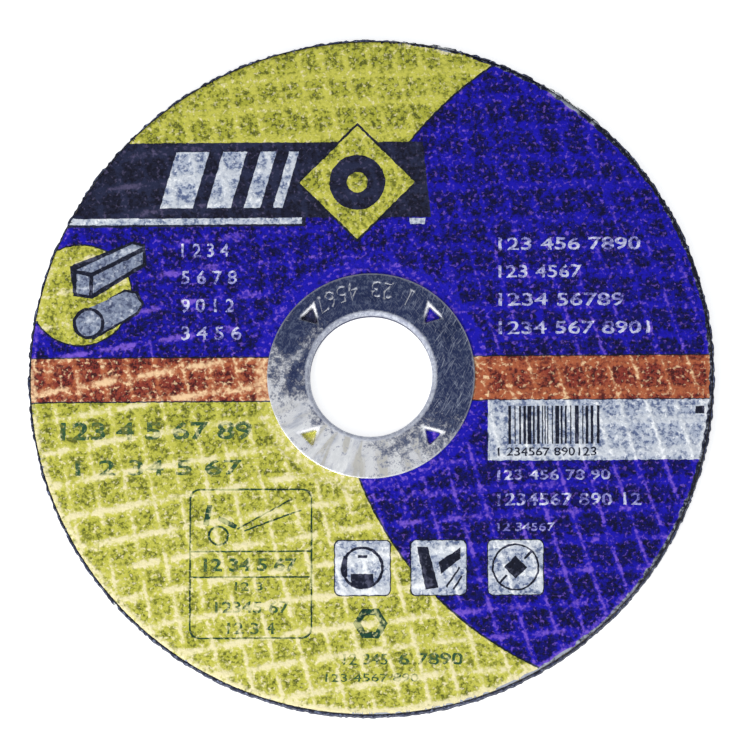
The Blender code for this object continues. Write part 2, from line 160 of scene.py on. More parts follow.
def round_box(left, right, bottom, top, radius):
    """Points of a rectangle with rounded corners."""
    points = []
    corners = ((right, top, 0), (left, top, 90), (left, bottom, 180), (right, bottom, 270))
    for x, y, start in corners:
        x -= math.copysign(radius, x - (left + right) / 2)
        y -= math.copysign(radius, y - (bottom + top) / 2)
        for part in range(5):
            turn = math.radians(start + 22.5 * part)
            points.append((x + radius * math.cos(turn), y + radius * math.sin(turn)))
    return np.array(points)


def stroke(x0, y0, x1, y1, width):
    """Points of a straight stroke."""
    start = np.array((x0, y0), float)
    end = np.array((x1, y1), float)
    side = np.array((start[1] - end[1], end[0] - start[0])) * width / 2 / np.hypot(*(end - start))
    return np.array([start + side, start - side, end - side, end + side])


def outline(points):
    """Segments (start, end) of a closed outline."""
    points = np.asarray(points, float)
    return np.stack([points, np.roll(points, -1, 0)], 1)


def rough(segments, amount, length):
    """The segments cut to a length and moved a little, as the edge of a print is."""
    pieces = []
    for start, end in segments:
        count = max(1, math.ceil(np.hypot(*(end - start)) / length))
        ends = start + (end - start) * np.arange(count + 1)[:, None] / count
        pieces.append(np.stack([ends[:-1], ends[1:]], 1))
    cut = np.concatenate(pieces)
    x = cut[..., 0]
    y = cut[..., 1]
    return cut + amount * np.stack([noise(x, y, 0.5, 3), noise(x, y, 0.5, 4)], -1)


def inside(places, segments):
    """True for the places that lie within closed outlines, counted even and odd."""
    found = np.zeros(len(places), bool)
    ends = segments.reshape(-1, 2)
    near = np.flatnonzero(((places > ends.min(0)) & (places < ends.max(0))).all(1))
    x, y = places[near].T
    hit = np.zeros(len(near), bool)
    for (x0, y0), (x1, y1) in segments:
        if y0 != y1:
            hit ^= ((y0 > y) != (y1 > y)) & (x < x0 + (y - y0) * (x1 - x0) / (y1 - y0))
    found[near] = hit
    return found


def grid(spacing, inner, outer, segments):
    """Points of a triangular grid between two radii, kept clear of the segments."""
    count = int(outer / spacing) + 2
    i, j = np.mgrid[-count:count + 1, -2 * count:2 * count + 1]
    x = (i + 0.5 * (j % 2)).ravel() * spacing
    y = j.ravel() * spacing * math.sqrt(3) / 2
    x = x + 0.12 * spacing * noise(x, y, 1.0, 5)
    y = y + 0.12 * spacing * noise(x, y, 1.0, 6)
    radius = np.hypot(x, y)
    keep = (radius > inner) & (radius < outer)
    points = np.column_stack([x, y])[keep]
    cell = spacing * 0.42
    side = int(2 * (outer + 2) / cell)
    taken = np.zeros((side, side), bool)
    span = np.linspace(0, 1, 5)[:, None, None]
    marks = (segments[None, :, 0] * (1 - span) + segments[None, :, 1] * span).reshape(-1, 2)
    marks = np.clip(((marks + outer + 2) / cell).astype(int), 1, side - 2)
    for di in (-1, 0, 1):
        for dj in (-1, 0, 1):
            taken[marks[:, 0] + di, marks[:, 1] + dj] = True
    places = ((points + outer + 2) / cell).astype(int)
    return points[~taken[places[:, 0], places[:, 1]]]


def surface(outer, holes, creases, spacing, height, more=()):
    """A sheet in the plan between an outline and its holes, at a height, with creases as edges."""
    borders = [outline(points) for points in (outer, *holes)]
    segments = np.concatenate([*borders, *creases])
    points = [tuple(end) for end in segments.reshape(-1, 2)]
    edges = [(index, index + 1) for index in range(0, len(points), 2)]
    if spacing:
        inner = np.hypot(*np.asarray(holes[0]).T).min()
        points += [tuple(point) for point in grid(spacing, inner, np.hypot(*outer.T).max(), segments)]
    points += [tuple(point) for point in more]
    corners, _, triangles, *_ = delaunay_2d_cdt(points, edges, [], 0, 0.0005, False)
    corners = np.array([tuple(corner) for corner in corners])
    triangles = np.array(triangles)
    centres = corners[triangles].mean(1)
    keep = inside(centres, borders[0])
    for border in borders[1:]:
        keep &= ~inside(centres, border)
    used, triangles = np.unique(triangles[keep], return_inverse=True)
    corners = corners[used]
    places = np.column_stack([corners, height(corners[:, 0], corners[:, 1])])
    return places, triangles.reshape(-1, 3).tolist()


def loft(rows):
    """Faces between closed rows of points, each row an array of x, y, z."""
    rows = np.asarray(rows)
    count = rows.shape[1]
    faces = []
    for row in range(len(rows) - 1):
        for index in range(count):
            after = (index + 1) % count
            base = row * count
            faces.append((base + index, base + after, base + count + after, base + count + index))
    return rows.reshape(-1, 3), faces


def at_height(points, z):
    """Plan points lifted to a height, which is one number or one for each point."""
    points = np.asarray(points)
    return np.column_stack([points, np.broadcast_to(z, len(points))])


def flat(level):
    """Height function of a flat face."""
    return lambda x, y: np.full(len(x), level)


def skirts(borders, height, level):
    """Upright walls from a face, at its height function, to a flat face."""
    return [loft([at_height(points, height(*points.T)), at_height(points, level)]) for points in borders]


def bend(start, top, size, shares, count):
    """Rows of a quarter-round bend down from a flat face, its size below 0 where it turns inwards."""
    rows = []
    for share in shares:
        swing = share * math.pi / 2
        radius = start + size * math.sin(swing)
        rows.append(at_height(circle(radius, count), top - abs(size) * (1 - math.cos(swing))))
    return rows


def new_object(name, data):
    """A new object in the scene."""
    item = bpy.data.objects.new(name, data)
    bpy.context.scene.collection.objects.link(item)
    return item


def make_piece(name, parts, material, node):
    """One closed mesh from (points, faces) parts, riding on the wheel in a CAD node's place."""
    places = np.concatenate([points for points, _ in parts]) * MM
    faces = []
    first = 0
    for points, part_faces in parts:
        faces += [[first + index for index in face] for face in part_faces]
        first += len(points)
    mesh = bpy.data.meshes.new(name)
    mesh.from_pydata(places.tolist(), [], faces)
    build = bmesh.new()
    build.from_mesh(mesh)
    bmesh.ops.remove_doubles(build, verts=build.verts, dist=0.0015 * MM)
    bmesh.ops.recalc_face_normals(build, faces=build.faces)
    for face in build.faces:
        face.smooth = True
    build.to_mesh(mesh)
    build.free()
    mesh.materials.append(material)
    piece = new_object(name, mesh)
    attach(piece, "root")
    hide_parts(node)
    return piece


def corner_places(mesh):
    """Places of a mesh's points in millimetres."""
    places = np.empty(len(mesh.vertices) * 3, np.float32)
    mesh.vertices.foreach_get("co", places)
    return places.reshape(-1, 3).astype(float) / MM


def set_points(mesh, name, values):
    """A number or a vector for each point of the mesh, for its material."""
    kind, field = ("FLOAT", "value") if values.ndim == 1 else ("FLOAT_VECTOR", "vector")
    data = mesh.attributes.new(name, kind, "POINT").data
    data.foreach_set(field, values.astype(np.float32).ravel())


def whole_numbers(items, name):
    """A whole number of each of a mesh's items."""
    values = np.empty(len(items), np.int32)
    items.foreach_get(name, values)
    return values


# Woven net


def net(x, y):
    """Place across warp and weft in pitches: a whole number is the middle of a strand."""
    warp = (x + WARP_LEAN * y + WARP_TURN * x * y) * WARP_SPACING / WARP_PITCH
    weft = (y + WEFT_LEAN * x + WEFT_BOW * x * x + WEFT_TURN * x * y) * WEFT_SPACING / WEFT_PITCH
    warp = warp + 0.05 * noise(x, y, 14.0, 7) + 0.02 * noise(x, y, 4.0, 8)
    weft = weft + 0.06 * noise(x, y, 15.0, 9) + 0.02 * noise(x, y, 4.0, 10)
    return warp, weft


def strands(x, y):
    """Distances in millimetres from the middle of the nearest warp and weft strand, and the rise
    of each, from -1 to 1, as they pass over and under each other."""
    warp, weft = net(x, y)
    i = np.rint(warp)
    j = np.rint(weft)
    warp_off = (warp - i) * WARP_PITCH + 0.3 * LATTICE[i.astype(int) % 256, 3]
    weft_off = (weft - j) * WEFT_PITCH + 0.3 * LATTICE[j.astype(int) % 256, 4]
    return warp_off, weft_off, np.cos(math.pi * (weft + i)), -np.cos(math.pi * (warp + j))


def union(first, second):
    """Smooth larger one of two shares."""
    return first + second - first * second


def rubbed(x, y):
    """How pale the rim is rubbed, from 0 to 1, at the few places where it is."""
    angle = np.degrees(np.arctan2(y, x))
    spots = ((53.5, 2.2, 1.0), (57.5, 1.2, 0.8), (49.0, 1.0, 0.5), (78.0, 2.0, 0.6), (84.0, 2.5, 0.4))
    return np.max([share * np.exp(-((angle - place) / width) ** 2) for place, width, share in spots], 0)


def from_chip_angle(turn):
    """Angle between places round the rim and the chip."""
    return np.abs(np.angle(np.exp(1j * (turn - CHIP_ANGLE))))


def by_chip(turn, width):
    """How near places round the rim are to the chip, from 0 to 1, over a width in millimetres."""
    return np.exp(-(from_chip_angle(turn) * RADIUS / width) ** 2)


def prong_side(x, y):
    """Distance in the plan from the nearest prong's centre towards its side: the side's own is equal."""
    best = np.full(np.shape(x), 99.0)
    for quarter in range(4):
        angle = math.radians(45 + 90 * quarter)
        dx = x - PRONG_CIRCLE * math.cos(angle)
        dy = y - PRONG_CIRCLE * math.sin(angle)
        away = np.max([
            dx * math.cos(angle + turn) + dy * math.sin(angle + turn)
            for turn in (0.0, math.tau / 3, -math.tau / 3)], 0)
        best = np.minimum(best, away)
    return best


def prong_loop(quarter, side, corner, straight=4, turned=7):
    """Rounded triangle of a prong, its corner towards the bore, at a distance from centre to side."""
    angle = math.radians(45 + 90 * quarter)
    centre = np.array((math.cos(angle), math.sin(angle))) * PRONG_CIRCLE
    points = []
    heads = [angle + math.pi + math.tau * k / 3 for k in range(3)]
    ends = []
    for head in heads:
        middle = centre + 2 * (side - corner) * np.array((math.cos(head), math.sin(head)))
        turns = head + np.linspace(-math.pi / 3, math.pi / 3, turned)
        ends.append(middle + corner * np.column_stack([np.cos(turns), np.sin(turns)]))
    for k in range(3):
        start = ends[k][-1]
        stop = ends[(k + 1) % 3][0]
        points.append(ends[k])
        points.append(start + (stop - start) * (np.arange(1, straight + 1) / (straight + 1))[:, None])
    return np.concatenate(points)


def dish_creases(dish):
    """Edges at the rim and at the floor of the four dishes under the prongs."""
    return [outline(prong_loop(quarter, side, 0.01, 1, 2)) for quarter in range(4) for side in dish[0]]


# Materials


def add(tree, kind, inputs=(), **settings):
    """A shader node. Each input is a socket to link or a value to set."""
    node = tree.nodes.new("ShaderNode" + kind)
    for key, value in settings.items():
        setattr(node, key, value)
    for key, value in dict(inputs).items():
        if isinstance(value, bpy.types.NodeSocket):
            tree.links.new(value, node.inputs[key])
        else:
            node.inputs[key].default_value = value
    return node


def new_material(name, **constants):
    """A Principled material with constants on its sockets: it, its tree, its shader and a place."""
    material = bpy.data.materials.new(name)
    material.use_nodes = True
    shader = material.node_tree.nodes["Principled BSDF"]
    for key, value in constants.items():
        shader.inputs[key.replace("_", " ").title().replace("Ior", "IOR")].default_value = value
    tree = material.node_tree
    return material, tree, shader, add(tree, "TexCoord").outputs["Object"]


def mix(tree, factor, first, second, blend="MIX"):
    """Colour between two colours."""
    node = add(tree, "Mix", {0: factor, 6: first, 7: second}, data_type="RGBA", blend_type=blend)
    return node.outputs[2]


def ramp(tree, value, low, high, start=0.0, end=1.0):
    """Smooth rise from start to end as a value goes from low to high."""
    settings = {"Value": value, "From Min": low, "From Max": high, "To Min": start, "To Max": end}
    return add(tree, "MapRange", settings, interpolation_type="SMOOTHSTEP").outputs[0]


def times(tree, first, second):
    """Product of two values."""
    return add(tree, "Math", {0: first, 1: second}, operation="MULTIPLY").outputs[0]


def plus(tree, first, second):
    """Sum of two values."""
    return add(tree, "Math", {0: first, 1: second}, operation="ADD").outputs[0]


def spread(tree, value, amount):
    """A value from 0 to 1 taken about its middle, times an amount."""
    return times(tree, plus(tree, value, -0.5), amount)


def grain(tree, place, size, detail=2.0, roughness=0.55, distortion=0.0):
    """Noise whose grains are about a size in millimetres."""
    settings = {"Vector": place, "Scale": 1 / (size * MM), "Detail": detail}
    settings.update({"Roughness": roughness, "Distortion": distortion})
    return add(tree, "TexNoise", settings).outputs[0]


def attribute(tree, name, output):
    """A value that the mesh carries."""
    return add(tree, "Attribute", attribute_name=name).outputs[output]


def finish_shader(tree, shader, colour, roughness, height, depth, strength):
    """Colour, roughness where it varies, and fine relief with its depth in millimetres."""
    tree.links.new(colour, shader.inputs["Base Color"])
    if roughness is not None:
        tree.links.new(roughness, shader.inputs["Roughness"])
    settings = {"Height": height, "Distance": depth * MM, "Strength": strength}
    tree.links.new(add(tree, "Bump", settings).outputs[0], shader.inputs["Normal"])


def tone(*values):
    """Linear colour, opaque, from 0 to 255 values as a screen shows them."""
    shares = [(v / 255 / 12.92) if v < 10.3 else ((v / 255 + 0.055) / 1.055) ** 2.4 for v in values]
    return (*shares, 1.0)


def label_material():
    """Print on paper pressed over net and grit: dark specks in the cells, worn pale on the strands."""
    material, tree, shader, place = new_material("printed_label_paper", specular_ior_level=0.16)
    band, ridge = (attribute(tree, name, "Fac") for name in ("band", "ridge"))
    base, worn, cell, deep = (attribute(tree, name, "Color") for name in INK_KINDS)
    fine = grain(tree, place, 0.66, 2.0, 0.6)
    flecks = grain(tree, place, 0.8, 2.0, 0.6, 0.25)
    broad = grain(tree, place, 2.6, 2.0, 0.5)
    uneven = plus(tree, spread(tree, fine, 2.2), spread(tree, broad, 1.8))
    colour = mix(tree, ramp(tree, plus(tree, band, uneven), -0.1, 0.95), cell, base)
    in_cell = ramp(tree, plus(tree, band, spread(tree, broad, 1.6)), 1.0, -0.05, 0.12, 0.9)
    colour = mix(tree, times(tree, ramp(tree, fine, 0.55, 0.36), in_cell), colour, deep)
    sparks = times(tree, ramp(tree, flecks, 0.56, 0.68), ramp(tree, ridge, 0.0, 0.5, 0.5, 0.9))
    colour = mix(tree, sparks, colour, worn)
    wear = plus(tree, spread(tree, flecks, 1.9), spread(tree, broad, 0.9))
    colour = mix(tree, ramp(tree, plus(tree, ridge, wear), 0.22, 1.0, 0.0, 0.9), colour, worn)
    roughness = ramp(tree, fine, 0.3, 0.7, 0.62, 0.36)
    finish_shader(tree, shader, colour, roughness, plus(tree, fine, times(tree, flecks, 0.6)), 0.24, 0.6)
    return material


def grit_material():
    """Dark resin-bonded grit with pale grains and tiny glints."""
    material, tree, shader, place = new_material("bonded_grit")
    cells = add(tree, "TexVoronoi", {"Vector": place, "Scale": 1 / (0.45 * MM)})
    fine = grain(tree, place, 0.5, 3.0)
    colour = mix(tree, ramp(tree, fine, 0.35, 0.7), tone(14, 18, 38), tone(56, 64, 98))
    pale = times(tree, ramp(tree, cells.outputs["Color"], 0.72, 0.8), ramp(tree, fine, 0.4, 0.55))
    colour = mix(tree, times(tree, pale, 0.6), colour, tone(140, 150, 180))
    pale = times(tree, attribute(tree, "rubbed", "Fac"), ramp(tree, fine, 0.4, 0.5))
    colour = mix(tree, pale, colour, tone(215, 218, 216))
    roughness = ramp(tree, fine, 0.3, 0.7, 0.9, 0.5)
    finish_shader(tree, shader, colour, roughness, plus(tree, cells.outputs["Distance"], fine), 0.14, 0.8)
    return material


def weave_material():
    """Resin-soaked glass strands with dark grit in the cells between them."""
    material, tree, shader, place = new_material("glass_weave")
    relief = attribute(tree, "relief", "Fac")
    woven = attribute(tree, "net", "Vector")
    side = add(tree, "SeparateXYZ", {0: woven}).outputs[2]
    fibres = []
    for stretch in ((9.0, 0.5, 0.0), (0.5, 9.0, 0.0)):
        along = add(tree, "VectorMath", {0: woven, 1: stretch}, operation="MULTIPLY").outputs[0]
        fibres.append(add(tree, "TexNoise", {"Vector": along, "Scale": 1.6, "Detail": 2.0}).outputs[0])
    fibre = mix(tree, side, fibres[1], fibres[0])
    fine = grain(tree, place, 0.55, 3.0)
    strand = mix(tree, ramp(tree, fibre, 0.3, 0.7), tone(96, 88, 70), tone(182, 172, 146))
    grit = mix(tree, ramp(tree, fine, 0.32, 0.68), tone(22, 24, 32), tone(92, 94, 104))
    up = ramp(tree, plus(tree, relief, spread(tree, fine, 0.7)), 0.3, 0.55)
    colour = mix(tree, up, grit, strand)
    roughness = ramp(tree, up, 0.0, 1.0, 0.85, 0.45)
    finish_shader(tree, shader, colour, roughness, mix(tree, up, fine, fibre), 0.12, 0.7)
    return material


def steel_material():
    """Pressed steel: scuffed, scratched, stained dull blue where oil has dried, worn to the metal on bends
    and prong walls. Painted reflection: pale to the lower left with pale and warm streaks, dark blue to the
    top and right. Painted highlights on the upper sides of the prong walls, the rim and one edge of each
    digit; painted sheen on the bend into the bore; painted shade low in the bore.
    """
    material, tree, shader, place = new_material("pressed_steel_scuffed", metallic=1.0)
    pale_share, lip, foot = (attribute(tree, name, "Fac") for name in ("pale_share", "lip", "foot"))
    parts = add(tree, "SeparateXYZ", {0: place}).outputs
    # Painted reflection: pale towards the lower left, dark blue towards the top and right, its edge broken by
    # blotches and mottle
    painted_reflection_lean = plus(tree, times(tree, parts[0], 0.41 / (18 * MM)), times(tree, parts[1], 0.86 / (18 * MM)))
    patch = grain(tree, place, 5.0, 3.0, 0.65, 0.8)
    mottle = grain(tree, place, 0.75, 3.0, 0.75)
    blotches = ramp(tree, parts[0], -4 * MM, 8 * MM, 2.4, 1.1)
    painted_reflection_lean = plus(tree, painted_reflection_lean, spread(tree, patch, blotches))
    dark = ramp(tree, plus(tree, painted_reflection_lean, spread(tree, mottle, 1.8)), -0.74, -0.02)
    colour = mix(tree, dark, tone(250, 249, 250), tone(54, 63, 100))
    colour = mix(tree, ramp(tree, mottle, 0.47, 0.68, 0.0, 0.45), colour, tone(140, 150, 174))
    stained = ramp(tree, patch, 0.5, 0.3, 0.0, 0.45)
    colour = mix(tree, stained, colour, tone(150, 162, 190), "MULTIPLY")
    below = times(tree, parts[1], -1.0)
    turn = add(tree, "Math", {0: parts[0], 1: below}, operation="ARCTAN2").outputs[0]
    away = add(tree, "VectorMath", {0: place}, operation="LENGTH").outputs["Value"]
    polar = add(tree, "CombineXYZ", {0: times(tree, turn, 5.0), 1: times(tree, away, 0.06 / MM)}).outputs[0]
    rays = add(tree, "TexNoise", {"Vector": polar, "Scale": 1.5, "Detail": 3.0, "Distortion": 0.4}).outputs[0]
    # Painted reflection: pale and warm streaks radiating over the pale lower part of the flange
    painted_reflection_area = times(tree, ramp(tree, dark, 0.45, 0.0), ramp(tree, below, 2 * MM, 12 * MM))
    painted_reflection_streaks = times(tree, painted_reflection_area, ramp(tree, rays, 0.5, 0.62))
    colour = mix(tree, painted_reflection_streaks, colour, tone(255, 255, 255))
    painted_warm_reflection = times(tree, painted_reflection_area, ramp(tree, rays, 0.5, 0.4, 0.0, 0.6))
    colour = mix(tree, painted_warm_reflection, colour, tone(206, 200, 182))
    scratches = []
    for heading, size in ((0.95, 0.16), (2.2, 0.13), (1.25, 0.2)):
        settings = {"Vector": place, "Rotation": (0, 0, heading), "Scale": (14, 1, 1)}
        turned = add(tree, "Mapping", settings, vector_type="TEXTURE")
        lines = grain(tree, turned.outputs[0], size, 2.0, 0.5, 0.4)
        scratches.append(ramp(tree, lines, 0.6, 0.7))
    lines = plus(tree, plus(tree, scratches[0], scratches[1]), scratches[2])
    scored = times(tree, lines, ramp(tree, parts[0], -3 * MM, 15 * MM, 0.14, 0.52))
    colour = mix(tree, scored, colour, tone(186, 192, 208))
    # Pale painted sheen on the bend into the bore
    lip_steel_and_sheen = mix(tree, ramp(tree, mottle, 0.35, 0.65), tone(186, 190, 206), tone(228, 231, 238))
    colour = mix(tree, lip, colour, lip_steel_and_sheen)
    # Painted highlights on the prong walls, the rim and the digit edges, over steel worn to the metal
    colour = mix(tree, pale_share, colour, tone(250, 250, 252))
    # Painted shade low on the bore's wall
    colour = mix(tree, foot, colour, tone(44, 50, 88))
    rough_share = plus(tree, mottle, plus(tree, times(tree, pale_share, 0.3), times(tree, lip, 0.6)))
    roughness = ramp(tree, rough_share, 0.3, 1.0, 0.3, 0.8)
    relief = plus(tree, times(tree, mottle, 0.7), times(tree, lines, 0.5))
    finish_shader(tree, shader, colour, roughness, relief, 0.02, 0.5)
    return material


# Printed label

# Inks: colour on the strands' flanks, where it is worn, in the cells, and in the cells' pits
INK_KINDS = ("ink", "worn_ink", "cell_ink", "deep_ink")
INKS = {
    "yellow": ((200, 197, 84), (240, 229, 184), (170, 171, 58), (74, 80, 30)),
    "blue": ((20, 12, 172), (122, 88, 208), (5, 4, 94), (1, 1, 34)),
    "orange": ((176, 96, 62), (246, 210, 164), (134, 52, 42), (50, 20, 24)),
    "black": ((35, 40, 68), (84, 78, 110), (24, 26, 48), (10, 10, 28)),
    "white": ((206, 211, 220), (248, 250, 253), (172, 181, 200), (72, 88, 130)),
    "green": ((34, 72, 52), (196, 196, 134), (24, 60, 46), (10, 30, 28)),
    "line": ((24, 28, 48), (80, 82, 104), (18, 22, 40), (10, 12, 28)),
    "steel": ((140, 150, 172), (204, 210, 222), (114, 124, 152), (44, 52, 84)),
    "white_digits": ((196, 198, 226), (240, 238, 252), (122, 118, 196), (24, 18, 112)),
    "green_digits": ((40, 78, 54), (214, 210, 152), (58, 92, 58), (110, 114, 48)),
    "grit": ((28, 32, 56), (170, 176, 190), (20, 24, 46), (10, 12, 30)),
}


def digit_shape(text, left, bottom, height, width, weight, turn=0.0):
    """Outlines of plain digits, fitted to a height and a width, as segments."""
    curve = bpy.data.curves.new("digits", "FONT")
    curve.body = text
    curve.offset = weight
    curve.resolution_u = 3
    holder = new_object("digits", curve)
    mesh = holder.evaluated_get(bpy.context.evaluated_depsgraph_get()).to_mesh()
    uses = np.zeros(len(mesh.edges), int)
    for loop in mesh.loops:
        uses[loop.edge_index] += 1
    places = np.array([tuple(vertex.co)[:2] for vertex in mesh.vertices])
    segments = np.array([places[list(edge.vertices)] for edge in mesh.edges if uses[edge.index] == 1])
    holder.to_mesh_clear()
    bpy.data.objects.remove(holder)
    bpy.data.curves.remove(curve)
    low = segments.reshape(-1, 2).min(0)
    size = segments.reshape(-1, 2).max(0) - low
    scale = np.array((width / size[0], height / size[1]))
    segments = (segments - low) * scale
    if turn:
        segments = segments - np.array((size[0] * scale[0] / 2, 0.0))
        cos, sin = math.cos(turn), math.sin(turn)
        segments = segments @ np.array([[cos, sin], [-sin, cos]])
    return segments + np.array((left, bottom))


# Every printed shape as (ink, segments), painted in turn over the yellow ground
PRINTS = []


def paint(ink, *shapes, ragged=0.09, length=0.45):
    """Print shapes with ragged edges."""
    for shape in shapes:
        PRINTS.append((ink, rough(outline(shape), ragged, length)))


def number(ink, text, left, bottom, top, right, weight):
    """Print digits that fill a box."""
    shape = digit_shape(text, left, bottom, top - bottom, right - left, weight)
    PRINTS.append((ink, rough(shape, 0.1, 0.4)))


def discs(ink, outer, fill, inner, count, middle):
    """Print a disc with a smaller one on it."""
    paint(ink, circle(outer, count, middle))
    paint(fill, circle(inner, count, middle))


def print_fields():
    """Blue field with its border line, and the black band with a white line under it."""
    discs("line", BLUE_RADIUS + BLUE_LINE, "blue", BLUE_RADIUS, 380, BLUE_CENTRE)
    paint("blue", box(-64, 0, *BLUE_STRIP))
    paint("black", [
        (-64, 27.7), (-11.9, 27.7), (-11.9, 29.3), (10.95, 29.3), (10.2, 36), (9.5, 43.3), (-64, 43.3)])
    paint("white", box(-55.4, -12.6, 28.15, 29.3), box(7.1, 9.85, 28.0, 29.1))


def print_band():
    """Slanted bars and a diamond with a disc on the black band."""
    for left, width in ((-38.5, 6.0), (-30.0, 4.4), (-23.2, 3.0), (-17.9, 1.8)):
        paint("white", [(left, 31.2), (left + width, 31.2), (left + width + 3, 41.6), (left + 3, 41.6)])
    middle = (-2.5, 35.8)
    discs("line", 11.1, "yellow", 10.5, 4, middle)
    paint("black", circle(5.1, 40, middle))
    paint("yellow", circle(1.9, 20, middle))


def print_spot():
    """Yellow spot with a bar and a tube."""
    discs("line", 9.5, "yellow", 9.2, 70, (-52.9, 15.2))
    paint("line", [(-54.2, 15.1), (-50.7, 14.5), (-40.9, 20.6), (-41.2, 24.6), (-43.4, 25.1), (-54.9, 20.6)])
    paint("steel", [(-53.6, 19.9), (-50.9, 19.4), (-41.6, 24.1), (-43.5, 24.6)])
    paint("steel", [(-50.6, 15.6), (-41.6, 21.0), (-41.6, 23.1), (-50.6, 18.7)])
    paint("steel", [(-53.6, 15.6), (-51.3, 15.2), (-51.3, 18.6), (-53.6, 19.2)])
    paint("line", [(-53.8, 10.8), (-44.9, 16.3), (-42.6, 15.9), (-41.3, 13.6), (-42.3, 11.6), (-50.6, 6.9)])
    paint("steel", [(-52.0, 12.6), (-44.8, 15.8), (-43.0, 15.5), (-41.8, 13.5), (-42.6, 12.0), (-49.9, 7.8)])
    discs("line", 2.9, "steel", 2.3, 26, (-51.4, 10.0))


def print_stripe():
    """Orange stripe across the middle, between two dark lines."""
    paint("line", box(-64, 64, -4.7, 3.7))
    paint("orange", box(-64, 64, -4.45, 3.45))


def print_numbers():
    """Rows of digits on the blue field and on the yellow ground."""
    rows = (
        ("1 2 3 4", -34.5, 22.1, 24.6, -25.9),
        ("5 6 7 8", -34.5, 17.1, 19.6, -24.4),
        ("9 0 1 2", -34.5, 11.9, 14.4, -24.9),
        ("3 4 5 6", -34.5, 6.8, 9.3, -23.6),
        ("123 456 7890", 23.2, 23.0, 25.4, 49.0),
        ("123 4567", 23.2, 17.9, 20.3, 38.3),
        ("1234 56789", 23.2, 12.7, 15.1, 45.9),
        ("1234 567 8901", 23.2, 7.5, 9.9, 50.6),
        ("123 456 78 90", 22.9, -19.3, -17.4, 43.3),
        ("1234567 890 12", 22.9, -24.0, -21.7, 48.9),
        ("12 34567", 22.9, -28.6, -27.1, 33.2),
    )
    for row in rows:
        number("white_digits", *row, 0.012)
    rows = (
        ("123 4 5 67 89", -56.4, -11.6, -8.2, -21.6, 0.025),
        ("1 2 34 5 67", -53.6, -18.1, -15.2, -23.4, 0.015),
        ("12 345", -5.0, -52.9, -50.9, 3.0, 0.01),
        ("6 7890", 5.0, -53.0, -50.7, 16.6, 0.02),
        ("123 4567 890", -8.2, -56.0, -54.5, 8.6, 0.01),
    )
    for row in rows:
        number("green_digits", *row)


def print_table():
    """Framed table with a small drawing and rows of digits."""
    left, right, bottom, top = -32.9, -10.6, -48.1, -20.6
    line = 0.32
    paint("green", round_box(left, right, bottom, top, 1.8), ragged=0.05)
    paint("yellow", round_box(left + line, right - line, bottom + line, top - line, 1.6), ragged=0.05)
    paint("green", box(-32.6, -10.9, -32.25, -31.95), box(-32.6, -10.9, -36.95, -36.65), ragged=0.05)
    rows = (
        ("12 34 5 67", -30.3, -35.8, -33.3, -13.4, 0.03),
        ("12 3", -24.6, -39.3, -37.7, -19.6, 0.01),
        ("12345 67", -28.2, -43.4, -41.2, -14.8, 0.015),
        ("12 3 4", -26.0, -47.2, -45.1, -17.3, 0.015),
    )
    for row in rows:
        number("green_digits", *row)
    paint("green", stroke(-24.2, -28.0, -14.4, -22.6, 0.3), stroke(-22.9, -28.3, -12.6, -24.6, 0.3))
    paint("green", stroke(-29.9, -27.3, -29.2, -23.6, 1.0), stroke(-27.6, -26.0, -24.4, -27.6, 0.9))
    discs("green", 1.9, "yellow", 1.5, 24, (-27.6, -29.2))


def print_panel():
    """Pale panel with seeded bars, a row of digits and a small square."""
    paint("white", box(21.2, 61.4, -15.7, -4.6), ragged=0.12)
    draw = np.random.default_rng(5)
    x = 24.9
    while x < 41.4:
        bar = draw.choice((0.22, 0.36, 0.5, 0.72))
        paint("line", box(x, x + bar, -12.7, -5.7), ragged=0.05, length=0.6)
        x += bar + draw.choice((0.25, 0.4, 0.62))
    number("line", "1 234567 890123", 23.0, -14.9, -13.3, 40.8, 0.01)
    paint("line", box(58.8, 60.4, -7.2, -5.9))


def print_squares():
    """Three pale squares with simple marks: a ring with bars, slanted bars, a ring with a diamond."""
    for left in (-6.5, 7.3, 21.2):
        paint("line", round_box(left - 0.2, left + 10.1, -40.4, -30.1, 1.0))
        paint("white", round_box(left, left + 9.9, -40.2, -30.3, 0.9))
    discs("line", 3.9, "white", 3.4, 40, (-1.55, -35.2))
    paint("line", box(-3.6, 0.5, -38.6, -36.3), box(-5.0, -4.3, -36.9, -33.0), box(-2.4, -0.7, -33.4, -32.9))
    paint("line", [(8.3, -31.4), (10.3, -31.4), (12.2, -38.9), (9.9, -39.3)])
    paint("line", [(12.2, -34.2), (16.2, -31.6), (16.2, -33.6), (12.7, -36.4)])
    paint("line", stroke(13.6, -38.9, 16.0, -35.2, 0.35), stroke(14.9, -39.2, 16.4, -36.8, 0.35))
    discs("line", 4.3, "white", 3.95, 44, (26.15, -35.2))
    paint("line", circle(2.1, 4, (26.15, -35.2)))
    paint("line", stroke(23.1, -38.2, 24.6, -36.7, 0.4), stroke(29.2, -32.2, 27.7, -33.7, 0.4))


def print_border():
    """Bare grit where the print ends short of the sheet's edge."""
    count = 900
    turn = np.arange(count) * math.tau / count
    short = 0.12 + 0.42 * np.clip(np.cos(turn + 0.15), 0, 1) + 0.3 * np.exp(-((turn - 1.0) / 0.4) ** 2)
    short = short + 0.24 * noise(turn * LABEL_EDGE, turn * 0, 0.8, 28) * np.clip(short * 3, 0, 1)
    border = circle(LABEL_EDGE - short * (1 - by_chip(turn, 0.6)), count)
    PRINTS.append(("grit", np.concatenate([outline(circle(LABEL_EDGE + 1, 90)), outline(border)])))


def print_label():
    """The whole print, in the order in which its shapes cover each other."""
    print_fields()
    print_band()
    print_spot()
    print_stripe()
    print_numbers()
    print_table()
    print_panel()
    # Dark patch in the dish under one prong
    paint("black", circle(1.9, 20, (-11.0, 11.0)))
    print_squares()
    # Small ring of six sides
    discs("green", 3.1, "yellow", 1.75, 6, (-0.1, -45.4))
    print_border()


